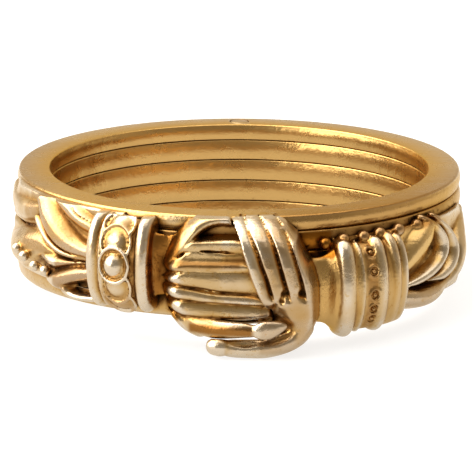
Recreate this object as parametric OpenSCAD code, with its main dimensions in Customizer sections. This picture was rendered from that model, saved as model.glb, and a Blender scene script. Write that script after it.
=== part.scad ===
// Gimmel ring of five hoops that pivot on one rivet and close as two clasped hands.
// Frame: +Z up, -Y towards the hands, origin at the centre of the finger bore.
// The ring lies on its side, so it is tipped by the angle at which the lower thumb
// and the back edge of the bottom hoop both touch a flat surface.

/* [Hoops] */
// Bore that takes the finger
finger_bore_d = 18.2; // [15:0.1:22]
// Radial thickness of every hoop
hoop_wall = 1.6; // [1.3:0.05:2.2]
// Height of the top hoop, which carries the left hand
top_hoop_h = 0.76; // [0.6:0.02:1.2]
// Height of the first middle hoop
upper_middle_h = 0.96; // [0.7:0.02:1.2]
// Height of the second middle hoop
centre_middle_h = 1.0; // [0.7:0.02:1.2]
// Height of the third middle hoop
lower_middle_h = 1.0; // [0.7:0.02:1.2]
// Height of the bottom hoop, which carries the right hand
bottom_hoop_h = 1.13; // [0.8:0.02:1.4]
// Air between two hoops, and round every part that slides past another
running_gap = 0.03; // [0.02:0.01:0.06]
// Rounding of each hoop's edges
hoop_edge = 0.12; // [0.06:0.01:0.2]

/* [Rivet] */
// Diameter of the rivet that all hoops turn on
rivet_d = 0.9; // [0.6:0.05:1.1]
// Play of the rivet in its holes, on the radius
rivet_play = 0.03; // [0.02:0.01:0.05]

/* [Cuffs] */
// How far the largest collars stand out from the hoops
cuff_stand = 1.65; // [1.3:0.05:2]
// Height of the left cuff at its largest collar
left_cuff_h = 4.7; // [4.3:0.05:4.8]
// Height of the right cuff at its largest collar
right_cuff_h = 4.84; // [4.4:0.05:5]
// How far the right cuff reaches below the bottom hoop
right_cuff_drop = 1.08; // [0.9:0.02:1.2]
// Thickness of a large collar along the hoop
collar_t = 0.62; // [0.5:0.02:0.8]
// Thickness of the wall behind the cuffs and leaves
backing_t = 0.28; // [0.2:0.02:0.36]
// Diameter of the beads that edge the leaves
bead_d = 0.62; // [0.5:0.02:0.8]

/* [Leaves] */
// How far the leaves stand out from the hoops at most
leaf_stand = 0.75; // [0.6:0.05:0.9]
// Largest half width of a leaf
leaf_w = 1.1; // [0.9:0.05:1.3]

/* [Hands] */
// How far the left hand stands out from the hoops
left_hand_stand = 1.5; // [1.3:0.05:1.7]
// Height of the left hand over its four fingers
left_hand_h = 4.7; // [4.5:0.05:4.9]
// Reach of the left hand to the left of the ring's middle
left_hand_reach = 3.5; // [3.3:0.05:3.7]
// Reach of the right hand to the right of the ring's middle
right_hand_reach = 3.85; // [3.7:0.05:4]
// Thickness of the right fingers over the left hand
finger_stand = 0.75; // [0.6:0.05:0.9]
// Spacing of the right hand's fingers
finger_pitch = 0.67; // [0.6:0.01:0.72]
// Sideways lean of the right hand's fingers from top to root
finger_lean = 1.35; // [1.1:0.05:1.5]
// Radius of the lower thumb, the right hand's
thumb_r = 0.42; // [0.36:0.01:0.46]
// Depth of the lower thumb's middle below the top of the hoops
thumb_depth = 6.12; // [6:0.02:6.3]

/* [Hidden] */
gold = "gold";

bore_r = finger_bore_d / 2;
outer_r = bore_r + hoop_wall;
hoop_h = [top_hoop_h, upper_middle_h, centre_middle_h, lower_middle_h, bottom_hoop_h];
// Depth of each hoop's upper face below the top of the ring
function hoop_top(k) = k == 0 ? 0 : hoop_top(k - 1) - hoop_h[k - 1] - running_gap;
band_h = hoop_h[4] - hoop_top(4);
over = 1;
slide_r = outer_r + running_gap;

// The rivet stands in the middle of the wall, opposite the hands.
pivot_y = bore_r + hoop_wall / 2;
// Everything that swings past the hands stays on circles about the rivet.
swing_r = pivot_y + outer_r;

// The cuffs are turned about an axis that follows the hoops.
left_cuff_r = left_cuff_h / 2;
right_cuff_r = right_cuff_h / 2;
cuff_axis_r = outer_r + cuff_stand - left_cuff_r;
left_cuff_z = -left_cuff_r;
right_cuff_z = -band_h - right_cuff_drop + right_cuff_r;

// The lower thumb and the back edge of the bottom hoop touch the surface it lies on.
thumb_inset = 0.1;
thumb_stand = left_hand_stand - thumb_inset;
thumb_y = outer_r + thumb_stand;
edge_y = outer_r - hoop_edge;
edge_depth = band_h - hoop_edge;
rest_run = thumb_y + edge_y;
rest_drop = thumb_depth - edge_depth;
rest_tilt = atan2(rest_drop, rest_run) + asin((thumb_r - hoop_edge) / norm([rest_run, rest_drop]));

// Where the arms begin and end, as angles from the front
left_arm_end = -44;
left_arm_start = -14;
right_arm_start = 18;
right_arm_end = 47;
// The core of both arms as a share of their cuff's radius
core_share = 0.72;
// Collars. Columns: angle from the front, radius as a share of the cuff's, thickness as a
// share of a large collar's.
left_collars = [
    [-35.9, 1.0, 1.0],
    [-22.4, 1.0, 0.85],
    [-18.2, 0.83, 0.4]];
right_collars = [
    [24.2, 0.74, 0.35],
    [27.4, 1.0, 1.0],
    [35.4, 0.99, 0.8],
    [39.3, 0.93, 0.85],
    [42.9, 0.87, 0.75]];

// The band between the left collars: angle, radius as a share of the cuff's, length in collars
boss_phi = -28.9;
boss_band_r = 0.93;
boss_band_len = 3;
// Its boss, and the turn about the arm and the seat of the crescents above and below,
// as shares of the cuff's radius
boss_share = 0.35;
crescent_turn = 25;
crescent_seat = 0.90;
crescent_span = 140;
// The dome, the wire round it and the crescents' wire, as shares of the boss's radius
dome_share = 0.95;
dome_sink = 0.55;
ring_wire = 0.17;
crescent_wire = 0.22;

// The band between the right collars: angle, radius as a share of the cuff's, length in collars
punch_phi = 31.6;
punch_band_r = 0.88;
punch_band_len = 1.6;
// The punched rings, by their turn about the arm, and their size
punch_turns = [-52, -27, -2, 23, 48];
punch_d = 0.48;
punch_depth = 0.1;

// The walls behind the cuffs and leaves: middle, half span, and depths as shares of the band's
backing_phi = 43;
backing_half = 43;
left_backing_share = 0.84;
right_backing_top = 0.235;

// Leaves of the left shoulder
left_leaves = [
    [[39, 0.40, 0.3, 0.35, 0.4], [43, 0.27, 0.6, 0.85, 0.5],
     [48, 0.19, 0.75, 0.8, 0.5], [54, 0.12, 0.5, 0.3, 0.35]],
    [[40, 0.52, 0.3, 0.25, 0.35], [47, 0.50, 0.6, 0.5, 0.45],
     [54, 0.40, 0.6, 0.4, 0.4], [60, 0.28, 0.4, 0.2, 0.3]],
    [[40, 0.58, 0.3, 0.3, 0.35], [48, 0.66, 0.5, 0.45, 0.4], [55, 0.74, 0.5, 0.3, 0.35]],
    [[46, 0.84, 0.2, 0.2, 0.3], [51, 0.86, 0.4, 0.35, 0.35], [56, 0.80, 0.4, 0.3, 0.3]],
    [[56, 0.62, 0.2, 0.5, 0.35], [62, 0.56, 0.4, 1.0, 0.45],
     [70, 0.66, 0.45, 1.05, 0.45], [80, 0.74, 0.2, 0.7, 0.3]],
    [[58, 0.24, 0.2, 0.4, 0.3], [67, 0.30, 0.35, 0.7, 0.4], [78, 0.34, 0.1, 0.6, 0.3]]];
// Its beads: angle and depth as a share of the band's, and their stand in bead diameters
left_beads = [[-60, 0.82], [-64.5, 0.80], [-68, 0.74], [-71.5, 0.67], [-63, 0.27], [-66.5, 0.25]];
left_bead_stand = 0.3;

// Leaves of the right shoulder, which lie lower by this much
right_drop = right_cuff_drop;
right_leaves = [
    [[45, 0.50, 0.3, 0.35, 0.4], [50, 0.38, 0.7, 0.8, 0.5],
     [54, 0.24, 0.8, 0.8, 0.5], [59, 0.10, 0.5, 0.35, 0.35]],
    [[44, 0.68, 0.3, 0.2, 0.35], [54, 0.58, 0.8, 0.3, 0.4],
     [62, 0.36, 0.9, 0.3, 0.4], [63, 0.12, 0.6, 0.2, 0.3]],
    [[46, 0.72, 0.2, 0.3, 0.3], [57, 0.66, 0.5, 0.5, 0.4],
     [68, 0.46, 0.5, 0.9, 0.45], [78, 0.32, 0.25, 0.8, 0.35]],
    [[44, 0.74, 0.2, 0.3, 0.3], [51, 0.80, 0.6, 0.5, 0.45],
     [57, 0.82, 0.6, 0.5, 0.45], [62, 0.74, 0.4, 0.3, 0.3]]];
// Its beads stand in a row under the rim, a little further apart towards the back.
right_bead_phi = 22.5;
right_bead_pitch = 4.9;
right_bead_spread = 0.13;
right_bead_depth = 0.245;
right_bead_stand = 0.2;
right_beads = [for (i = [0:6])
    [right_bead_phi + right_bead_pitch * i + right_bead_spread * i * i, right_bead_depth]];

// Tables of the hands. Columns: place across, depth and stand as shares of the reach, the
// height and the stand, then half width as a share of the height and half thickness as a
// share of the stand.
palm_stop = 0.2;
palm_stop_t = 0.6;
left_palm = [
    [-1.12, 0.58, -0.10, 0.26, 0.50],
    [-0.92, 0.60, 0.10, 0.42, 0.62],
    [-0.65, 0.61, 0.22, 0.49, 0.66],
    [-0.25, 0.60, 0.25, 0.46, 0.66],
    [0.0, 0.58, 0.25, 0.42, 0.64],
    [palm_stop, 0.57, 0.20, 0.38, palm_stop_t]];
// Left fingers. Columns: reach to the left, depth at the knuckle, the middle and the right
// end, half width and stand, each as a share of the hand's.
left_fingers = [
    [0.73, 0.23, 0.225, 0.225, 0.066, 0.62],
    [0.88, 0.41, 0.390, 0.395, 0.090, 0.76],
    [0.94, 0.60, 0.575, 0.600, 0.096, 0.80],
    [0.92, 0.73, 0.745, 0.770, 0.074, 0.76],
    [0.84, 0.83, 0.875, 0.900, 0.084, 0.66]];
// Every finger starts low at its knuckle, rises to a crest and runs on to where it stops.
knuckle_sink = 0.28;
knuckle_w = 0.9;
knuckle_t = 0.3;
crest_run = 0.2;
crest_w = 1.05;
crest_t = 0.22;
finger_mid = -0.2;
finger_stop = 0.36;
finger_t = 0.2;
// The left thumb lies on the lower one, so its height is the depth of that thumb's upper side.
left_thumb_h = thumb_depth - thumb_r;
left_thumb = [
    [-0.70, 0.760, 0.40, 0.155, 0.45],
    [-0.45, 0.875, 0.70, 0.100, 0.30],
    [-0.19, 0.882, 1.10, 0.062, 0.20],
    [0.09, 0.875, 1.33, 0.062, 0.17],
    [0.36, 0.872, 1.42, 0.070, 0.16],
    [0.60, 0.840, 1.38, 0.038, 0.10]];

// Right fingers, from their tips on the top hoop's face to their roots in the palm. Columns:
// lean as a share of the full lean, depth and stand, then half width as a share of their
// spacing and half thickness as a share of their stand. The last root lies at this share
// of the reach.
finger_root = 0.8675;
right_finger = [
    [-0.06, -0.008, -0.42, 0.36, 0.20],
    [-0.02, -0.002, 0.05, 0.42, 0.28],
    [0.05, 0.035, 0.44, 0.44, 0.40],
    [0.20, 0.11, 0.72, 0.47, 0.47],
    [0.42, 0.22, 0.845, 0.48, 0.47],
    [0.70, 0.40, 0.86, 0.48, 0.47],
    [0.95, 0.58, 0.80, 0.46, 0.47],
    [1.04, 0.67, 0.68, 0.40, 0.47]];
right_palm = [
    [0.52, 0.04, 0.18, 0.08, 0.18],
    [0.64, 0.20, 0.24, 0.13, 0.36],
    [0.69, 0.40, 0.32, 0.175, 0.48],
    [0.63, 0.58, 0.41, 0.23, 0.52],
    [0.62, 0.74, 0.34, 0.21, 0.42],
    [0.62, 0.86, 0.38, 0.15, 0.34],
    [0.60, 0.93, 0.50, 0.10, 0.22]];
// Lower thumb. Columns: place across, depth and stand, and its radius as a share of the thumb's
right_thumb = [
    [0.80, 0.84, 0.95, 1.2],
    [0.72, 0.905, 0.97, 1.15],
    [0.56, 0.955, 1.0, 1.08],
    [0.33, 1.00, 1.0, 1.0],
    [0.08, 1.00, 1.0, 1.0],
    [-0.13, 0.995, 1.0, 1.0],
    [-0.28, 0.975, 1.0, 0.98]];

// The hood over the left fingers stops short of the tip of the first right finger.
hood_stop_t = 0.40;
finger_edge = finger_root * right_hand_reach - 3 * finger_pitch
    - (1 - right_finger[0][0]) * finger_lean - right_finger[1][3] * finger_pitch;
hood_stop = (finger_edge - running_gap) / left_hand_reach
    - hood_stop_t * left_hand_stand / left_hand_reach;
left_hood = [
    [-1.00, 0.55, 0.45, 0.05, 0.35],
    [-0.93, 0.32, 0.50, 0.06, 0.40],
    [-0.73, 0.14, 0.50, 0.06, 0.42],
    [-0.48, 0.03, 0.45, 0.055, 0.42],
    [hood_stop, 0.01, 0.40, 0.05, hood_stop_t]];
// The grip opens below this depth and ends where the left palm's rounded end stops.
grip_top = 0.8;
grip_end = palm_stop * left_hand_reach + palm_stop_t * left_hand_stand;

// A point on a hoop, by its angle from the front, its radius and its height
function on_hoop(phi, r, z) = [r * sin(phi), -r * cos(phi), z];
// A point in front of the hoops, by its place across, its height and how far it stands out
function on_hand(x, z, stand) = [x, pivot_y - sqrt(pow(swing_r + stand, 2) - x * x), z];

// A row between rows b and c, on the smooth curve through all four
function between(a, b, c, d, t) =
    0.5 * (2 * b + (c - a) * t + (2 * a - 5 * b + 4 * c - d) * t * t + (3 * b - a - 3 * c + d) * t * t * t);
function smooth(rows, steps) =
    let (last = len(rows) - 1)
    concat(
        [for (i = [0:last - 1], s = [0:steps - 1])
            between(rows[max(i - 1, 0)], rows[i], rows[i + 1], rows[min(i + 2, last)], s / steps)],
        [rows[last]]);
function place(row) = [row[0], row[1], row[2]];
function unit(v) = v / norm(v);
function heading(rows, i) = unit(place(rows[min(i + 1, len(rows) - 1)]) - place(rows[max(i - 1, 0)]));

// One oval ring of points round a row of a sweep: place, half width, half thickness
function oval(centre, dir, wide, thick, sides) =
    let (out = unit([centre[0], centre[1], 0]),
         n = unit(out - dir * (out * dir)),
         b = cross(dir, n))
    [for (k = [0:sides - 1])
        centre + n * thick * cos(360 * k / sides) + b * wide * sin(360 * k / sides)];

// The rounded end of a sweep, as rings that shrink towards its tip
cap_angles = [25, 55];
function end_rings(row, dir, sides, sign) =
    [for (a = sign < 0 ? cap_angles : [cap_angles[1], cap_angles[0]])
        oval(place(row) + dir * sign * row[4] * cos(a), dir, row[3] * sin(a), row[4] * sin(a), sides)];

// A smooth body swept through rows of place, half width and half thickness
module swept(rows, steps = 3, sides = 10) {
    line = smooth(rows, steps);
    last = len(line) - 1;
    rings = concat(
        end_rings(line[0], heading(line, 0), sides, -1),
        [for (i = [0:last]) oval(place(line[i]), heading(line, i), line[i][3], line[i][4], sides)],
        end_rings(line[last], heading(line, last), sides, 1));
    points = [for (ring = rings) each ring];
    count = len(rings);
    walls = [for (i = [0:count - 2], k = [0:sides - 1])
        let (a = i * sides + k, b = i * sides + (k + 1) % sides)
        each [[a, a + sides, b], [b, a + sides, b + sides]]];
    tips = [[for (k = [0:sides - 1]) k], [for (k = [0:sides - 1]) count * sides - 1 - k]];
    polyhedron(points, concat(walls, tips));
}

// A hoop with rounded edges
module hoop(k) {
    e = hoop_edge;
    translate([0, 0, hoop_top(k) - hoop_h[k]])
        rotate_extrude($fn = 96) {
            translate([bore_r, e]) square([hoop_wall, hoop_h[k] - 2 * e]);
            translate([bore_r + e, 0]) square([hoop_wall - 2 * e, hoop_h[k]]);
            for (x = [bore_r + e, outer_r - e], z = [e, hoop_h[k] - e])
                translate([x, z]) circle(e, $fn = 32);
        }
}

// The rivet's hole through all hoops
module rivet_hole() {
    translate([0, pivot_y, -band_h - over])
        cylinder(r = rivet_d / 2 + rivet_play, h = band_h + 2 * over, $fn = 32);
}

// The space of the finger
module finger_space() {
    translate([0, 0, -2 * band_h]) cylinder(r = bore_r, h = 3 * band_h, $fn = 96);
}

// The space in which the hoops from one depth to another turn
module turning_space(top, bottom) {
    translate([0, 0, bottom]) cylinder(r = slide_r, h = top - bottom, $fn = 96);
}

// The space that hoops sweep in front of the hands as they swing out to one side
module swinging_space(top, bottom, side) {
    intersection() {
        translate([0, pivot_y, bottom]) cylinder(r = swing_r + running_gap, h = top - bottom, $fn = 96);
        translate([side > 0 ? 0 : -outer_r, -2 * outer_r, bottom - over])
            cube([outer_r, 2 * outer_r, top - bottom + 2 * over]);
    }
}

// A turned disc with a round edge, square to the hoop at one angle
module collar(phi, z, r, t) {
    rotate([0, 0, phi]) translate([0, -cuff_axis_r, z]) rotate([0, 90, 0])
        rotate_extrude($fn = 64) {
            translate([0, -t / 2]) square([r - t / 2, t]);
            translate([r - t / 2, 0]) circle(t / 2, $fn = 32);
        }
}

// All collars of a cuff
module collars(table, z, r) {
    for (row = table)
        collar(row[0], z, row[1] * r, row[2] * collar_t);
}

// A plain turned band, square to the hoop at one angle
module sleeve(phi, z, r, t) {
    rotate([0, 0, phi]) translate([-t / 2, -cuff_axis_r, z]) rotate([0, 90, 0])
        cylinder(r = r, h = t, $fn = 64);
}

// The round core of an arm, bent along the hoops
module arm_core(from, to, z, r) {
    rotate([0, 0, from - 90]) translate([0, 0, z])
        rotate_extrude(angle = to - from, $fn = 96) translate([cuff_axis_r, 0]) circle(r, $fn = 48);
}

// Round cuff of the left hand: two collars, and a band with a boss between two crescents
module left_cuff() {
    r = left_cuff_r;
    z = left_cuff_z;
    arm_core(left_arm_end, left_arm_start, z, core_share * r);
    collars(left_collars, z, r);
    sleeve(boss_phi, z, boss_band_r * r, boss_band_len * collar_t);
    rotate([0, 0, boss_phi]) translate([0, -cuff_axis_r, z]) {
        translate([0, -boss_band_r * r, 0]) boss(boss_share * r);
        for (side = [-1, 1])
            rotate([-side * crescent_turn, 0, 0]) translate([0, -crescent_seat * r, 0])
                crescent(boss_share * r, side);
    }
}

// A domed boss in a ring
module boss(r) {
    translate([0, dome_sink * r, 0]) sphere(r = dome_share * r, $fn = 48);
    rotate([90, 0, 0]) rotate_extrude($fn = 48) translate([r, 0]) circle(ring_wire * r, $fn = 16);
}

// A crescent that bends over the boss's ring, above it or below
module crescent(r, side) {
    rotate([90, 0, 0]) rotate([0, 0, side * 90 - crescent_span / 2])
        rotate_extrude(angle = crescent_span, $fn = 48)
            translate([r, 0]) circle(crescent_wire * r, $fn = 16);
}

// Round cuff of the right hand: four collars, and a band with a row of punched rings
module right_cuff() {
    r = right_cuff_r;
    z = right_cuff_z;
    arm_core(right_arm_start, right_arm_end, z, core_share * r);
    collars(right_collars, z, r);
    sleeve(punch_phi, z, punch_band_r * r, punch_band_len * collar_t);
}

// The punched rings of the right cuff, each a round sink with a bead left in it
module punches() {
    rotate([0, 0, punch_phi]) translate([0, -cuff_axis_r, right_cuff_z])
        for (turn = punch_turns)
            rotate([turn, 0, 0]) translate([0, -punch_band_r * right_cuff_r, 0]) rotate([90, 0, 0])
                rotate_extrude($fn = 32) translate([punch_d / 4, -punch_depth])
                    square([punch_d / 4, 2 * punch_depth]);
}

// Beads along the edge of the leaves, by their angle and their depth as a share of the band's
module beads(rows, stand) {
    for (row = rows)
        translate(on_hoop(row[0], outer_r + stand, -row[1] * band_h)) sphere(d = bead_d, $fn = 24);
}

// The wall that stands behind a cuff and its leaves, just outside the other hoops.
// It is a round slab set off centre, so that it thins out to nothing at its ends.
module backing(middle, top, bottom) {
    shift = backing_t / (1 - cos(backing_half));
    rotate([0, 0, middle]) translate([0, -shift, bottom])
        cylinder(r = outer_r + backing_t - shift, h = top - bottom, $fn = 96);
}

// Leaves on the shoulder of a hoop, each swept through rows of a table.
// Columns: angle from the front, depth as a share of the band's height, stand as a share
// of the leaf's stand, half width and half thickness as shares of the leaf's half width.
module leaves(tables, side, drop) {
    for (table = tables)
        swept([for (row = table)
            let (p = on_hoop(side * row[0], outer_r + row[2] * leaf_stand, -row[1] * band_h - drop))
            [p[0], p[1], p[2], row[3] * leaf_w, row[4] * leaf_w]]);
}

// Rows of a hand's table as places and sizes
function hand_rows(table, reach, height, stand) =
    [for (row = table)
        let (p = on_hand(row[0] * reach, -row[1] * height, row[2] * stand))
        [p[0], p[1], p[2], row[3] * height, row[4] * stand]];

// The left hand: palm, five ridges of its fingers, the hood over them and the thumb
module left_hand() {
    reach = left_hand_reach;
    height = left_hand_h;
    stand = left_hand_stand;
    swept(hand_rows(left_palm, reach, height, stand), 3, 16);
    swept(hand_rows(left_hood, reach, height, stand));
    swept(hand_rows(left_thumb, reach, left_thumb_h, stand));
    for (f = left_fingers)
        swept(hand_rows(
            [[-f[0], f[1], f[5] - knuckle_sink, knuckle_w * f[4], knuckle_t],
             [crest_run - f[0], f[1], f[5], crest_w * f[4], crest_t],
             [finger_mid, f[2], f[5], f[4], finger_t],
             [finger_stop, f[3], f[5], f[4], finger_t]], reach, height, stand));
}

// The right hand: palm, four fingers over the left hand, and the lower thumb
module right_hand() {
    stand = left_hand_stand + finger_stand;
    swept(hand_rows(right_palm, right_hand_reach, thumb_depth, stand), 3, 16);
    swept([for (row = right_thumb)
        let (p = on_hand(row[0] * right_hand_reach, -row[1] * thumb_depth, row[2] * thumb_stand))
        [p[0], p[1], p[2], row[3] * thumb_r, row[3] * thumb_r]], 4, 12);
    for (i = [0:3])
        swept([for (row = right_finger)
            let (across = finger_root * right_hand_reach - i * finger_pitch
                          - (1 - row[0]) * finger_lean,
                 p = on_hand(across, -row[1] * thumb_depth, row[2] * stand))
            [p[0], p[1], p[2], row[3] * finger_pitch, row[4] * finger_stand]]);
}

// The space of the left hand inside the right hand's grip
module grip_space() {
    gap = running_gap;
    depth = thumb_depth - thumb_r - gap;
    intersection() {
        translate([0, pivot_y, -depth])
            cylinder(r = swing_r + left_hand_stand + gap, h = depth - grip_top, $fn = 96);
        translate([-left_hand_reach, -2 * outer_r, -band_h - over])
            cube([left_hand_reach + grip_end, 2 * outer_r, band_h + 2 * over]);
    }
}

// The top hoop with the left hand, its cuff and leaves, all one soldered piece
module left_hand_hoop() {
    color(gold) difference() {
        union() {
            hoop(0);
            difference() {
                union() {
                    left_cuff();
                    leaves(left_leaves, -1, 0);
                    beads(left_beads, backing_t + left_bead_stand * bead_d);
                    backing(-backing_phi, 0, -left_backing_share * band_h);
                    left_hand();
                }
                turning_space(-top_hoop_h, -band_h - over);
                swinging_space(-top_hoop_h, -band_h - over, 1);
            }
        }
        finger_space();
        rivet_hole();
    }
}

// The bottom hoop with the right hand, its cuff and leaves, all one soldered piece
module right_hand_hoop() {
    color(gold) difference() {
        union() {
            hoop(4);
            difference() {
                union() {
                    difference() {
                        right_cuff();
                        punches();
                    }
                    leaves(right_leaves, 1, right_drop);
                    beads(right_beads, backing_t + right_bead_stand * bead_d);
                    backing(backing_phi, -right_backing_top * band_h, -band_h);
                    right_hand();
                }
                turning_space(running_gap, hoop_top(4));
                swinging_space(running_gap, hoop_top(4), -1);
                grip_space();
            }
        }
        finger_space();
        rivet_hole();
    }
}

module middle_hoop(k) {
    color(gold) difference() {
        hoop(k);
        rivet_hole();
    }
}

module upper_middle_hoop() { middle_hoop(1); }

module centre_middle_hoop() { middle_hoop(2); }

module lower_middle_hoop() { middle_hoop(3); }

// The rivet, filed flush with both faces of the ring
module pivot_rivet() {
    color("goldenrod") translate([0, pivot_y, -band_h]) cylinder(d = rivet_d, h = band_h, $fn = 32);
}

// The ring as it rests on its side
module resting() {
    rotate([-rest_tilt, 0, 0]) translate([0, 0, band_h / 2]) children();
}

resting() left_hand_hoop();
resting() upper_middle_hoop();
resting() centre_middle_hoop();
resting() lower_middle_hoop();
resting() right_hand_hoop();
resting() pivot_rivet();
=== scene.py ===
import functools
import math

import bpy
import numpy as np
import openvdb
from mathutils import Matrix, Vector


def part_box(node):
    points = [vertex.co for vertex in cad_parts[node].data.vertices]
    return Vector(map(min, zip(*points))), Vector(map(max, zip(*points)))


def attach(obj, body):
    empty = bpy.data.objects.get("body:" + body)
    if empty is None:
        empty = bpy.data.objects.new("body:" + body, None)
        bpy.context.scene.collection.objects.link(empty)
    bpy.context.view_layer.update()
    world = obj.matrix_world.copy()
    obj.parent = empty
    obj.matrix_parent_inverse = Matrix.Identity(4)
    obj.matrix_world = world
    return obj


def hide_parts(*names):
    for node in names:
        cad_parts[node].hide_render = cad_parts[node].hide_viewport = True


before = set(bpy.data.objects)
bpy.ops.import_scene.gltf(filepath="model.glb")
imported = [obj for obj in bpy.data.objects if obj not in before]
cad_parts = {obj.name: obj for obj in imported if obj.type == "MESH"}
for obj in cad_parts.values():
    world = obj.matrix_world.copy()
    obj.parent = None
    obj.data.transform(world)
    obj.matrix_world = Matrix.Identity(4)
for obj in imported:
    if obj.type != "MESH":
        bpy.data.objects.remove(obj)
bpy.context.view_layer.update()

# Sizes in millimetres, in the ring's own frame: z is 0 at the top of the hoops and falls
# towards the bottom one, and the hands lie towards -y.
MM = 0.001
BORE_R = 9.1
OUTER_R = 10.7
HOOP_H = [0.76, 0.96, 1.0, 1.0, 1.13]
RUN_GAP = 0.03
SLIDE_R = OUTER_R + RUN_GAP
HOOP_TOP = [0.0, -0.79, -1.78, -2.81, -3.84]
BAND_H = 4.97
PIVOT_Y = 9.9
SWING_R = PIVOT_Y + OUTER_R
RIVET_R = 0.45
RIVET_HOLE_R = 0.48
# The cuffs' oval sections: where they are centred, half height and half depth
CUFF_R = 11.1
LEFT_CUFF, LEFT_Z = (2.37, 1.25), -2.37
RIGHT_CUFF, RIGHT_Z = (2.40, 1.25), -3.58
HAND_STAND = 1.5
GRIP_R = SWING_R + HAND_STAND + RUN_GAP
REST_TILT = math.radians(3.962)

# The grid that the hands are sculpted on, and the sheets of heights raised on it
STEP = 0.066
SHEET_STEP = 0.03
# The largest value of a field, the height of an empty sheet, and the height below which it
# raises nothing
FAR = 1.0
NOTHING = -0.45
BARE = -0.3
# The rounding where small forms meet
WELD = 0.03
TO_WORLD = (Matrix.Scale(MM, 4) @ Matrix.Rotation(-REST_TILT, 4, "X")
            @ Matrix.Translation((0, 0, BAND_H / 2)))


def hundredths(rows):
    """A table that is written in hundredths of a millimetre, or of a degree for angles."""
    return rows / 100 if isinstance(rows, (int, float)) else [hundredths(v) for v in rows]


def curve(rows, steps=6):
    """Points on the smooth curve through rows of numbers."""
    rows = np.asarray(rows, float)
    last = len(rows) - 1
    out = []
    for i in range(last):
        a, b, c, d = rows[max(i - 1, 0)], rows[i], rows[i + 1], rows[min(i + 2, last)]
        for t in np.arange(steps) / steps:
            out.append(0.5 * (2 * b + (c - a) * t + (2 * a - 5 * b + 4 * c - d) * t**2
                              + (3 * b - a - 3 * c + d) * t**3))
    out.append(rows[last])
    return np.array(out)


def blend_min(a, b, k):
    """The smaller of two fields, rounded over k where they meet."""
    if k <= 0:
        return np.minimum(a, b)
    h = np.maximum(k - np.abs(a - b), 0) / k
    return np.minimum(a, b) - h * h * k / 4


def blend_max(a, b, k):
    """The larger of two fields, rounded in the same way."""
    return -blend_min(-a, -b, k)


def overlap(*fields):
    """The largest of these fields: what lies inside all of them."""
    return functools.reduce(np.maximum, fields)


def ease(t):
    """A smooth step from 0 to 1 as t goes from 0 to 1."""
    t = np.clip(t, 0, 1)
    return t * t * (3 - 2 * t)


def between(v, low, high, soft, soft_high=None):
    """1 between two values, easing to 0 outside them."""
    return ease((v - low) / soft) * ease((high - v) / (soft_high or soft))


def dome(e):
    """A quarter circle's rise, from 0 at e = 0 to 1 at e = 1."""
    return np.sqrt(np.clip(1 - (1 - np.clip(e, 0, 1)) ** 2, 0, 1))


def oval(r, z, high, deep):
    """Distance to a cuff's oval section; r is from the ring's axis, z from the oval's middle."""
    o = r - CUFF_R
    k0 = np.sqrt((o / deep) ** 2 + (z / high) ** 2)
    k1 = np.sqrt((o / deep**2) ** 2 + (z / high**2) ** 2) + 1e-6
    return np.where(k0 > 0.05, k0 * (k0 - 1) / k1, -np.minimum(deep, high))


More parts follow.
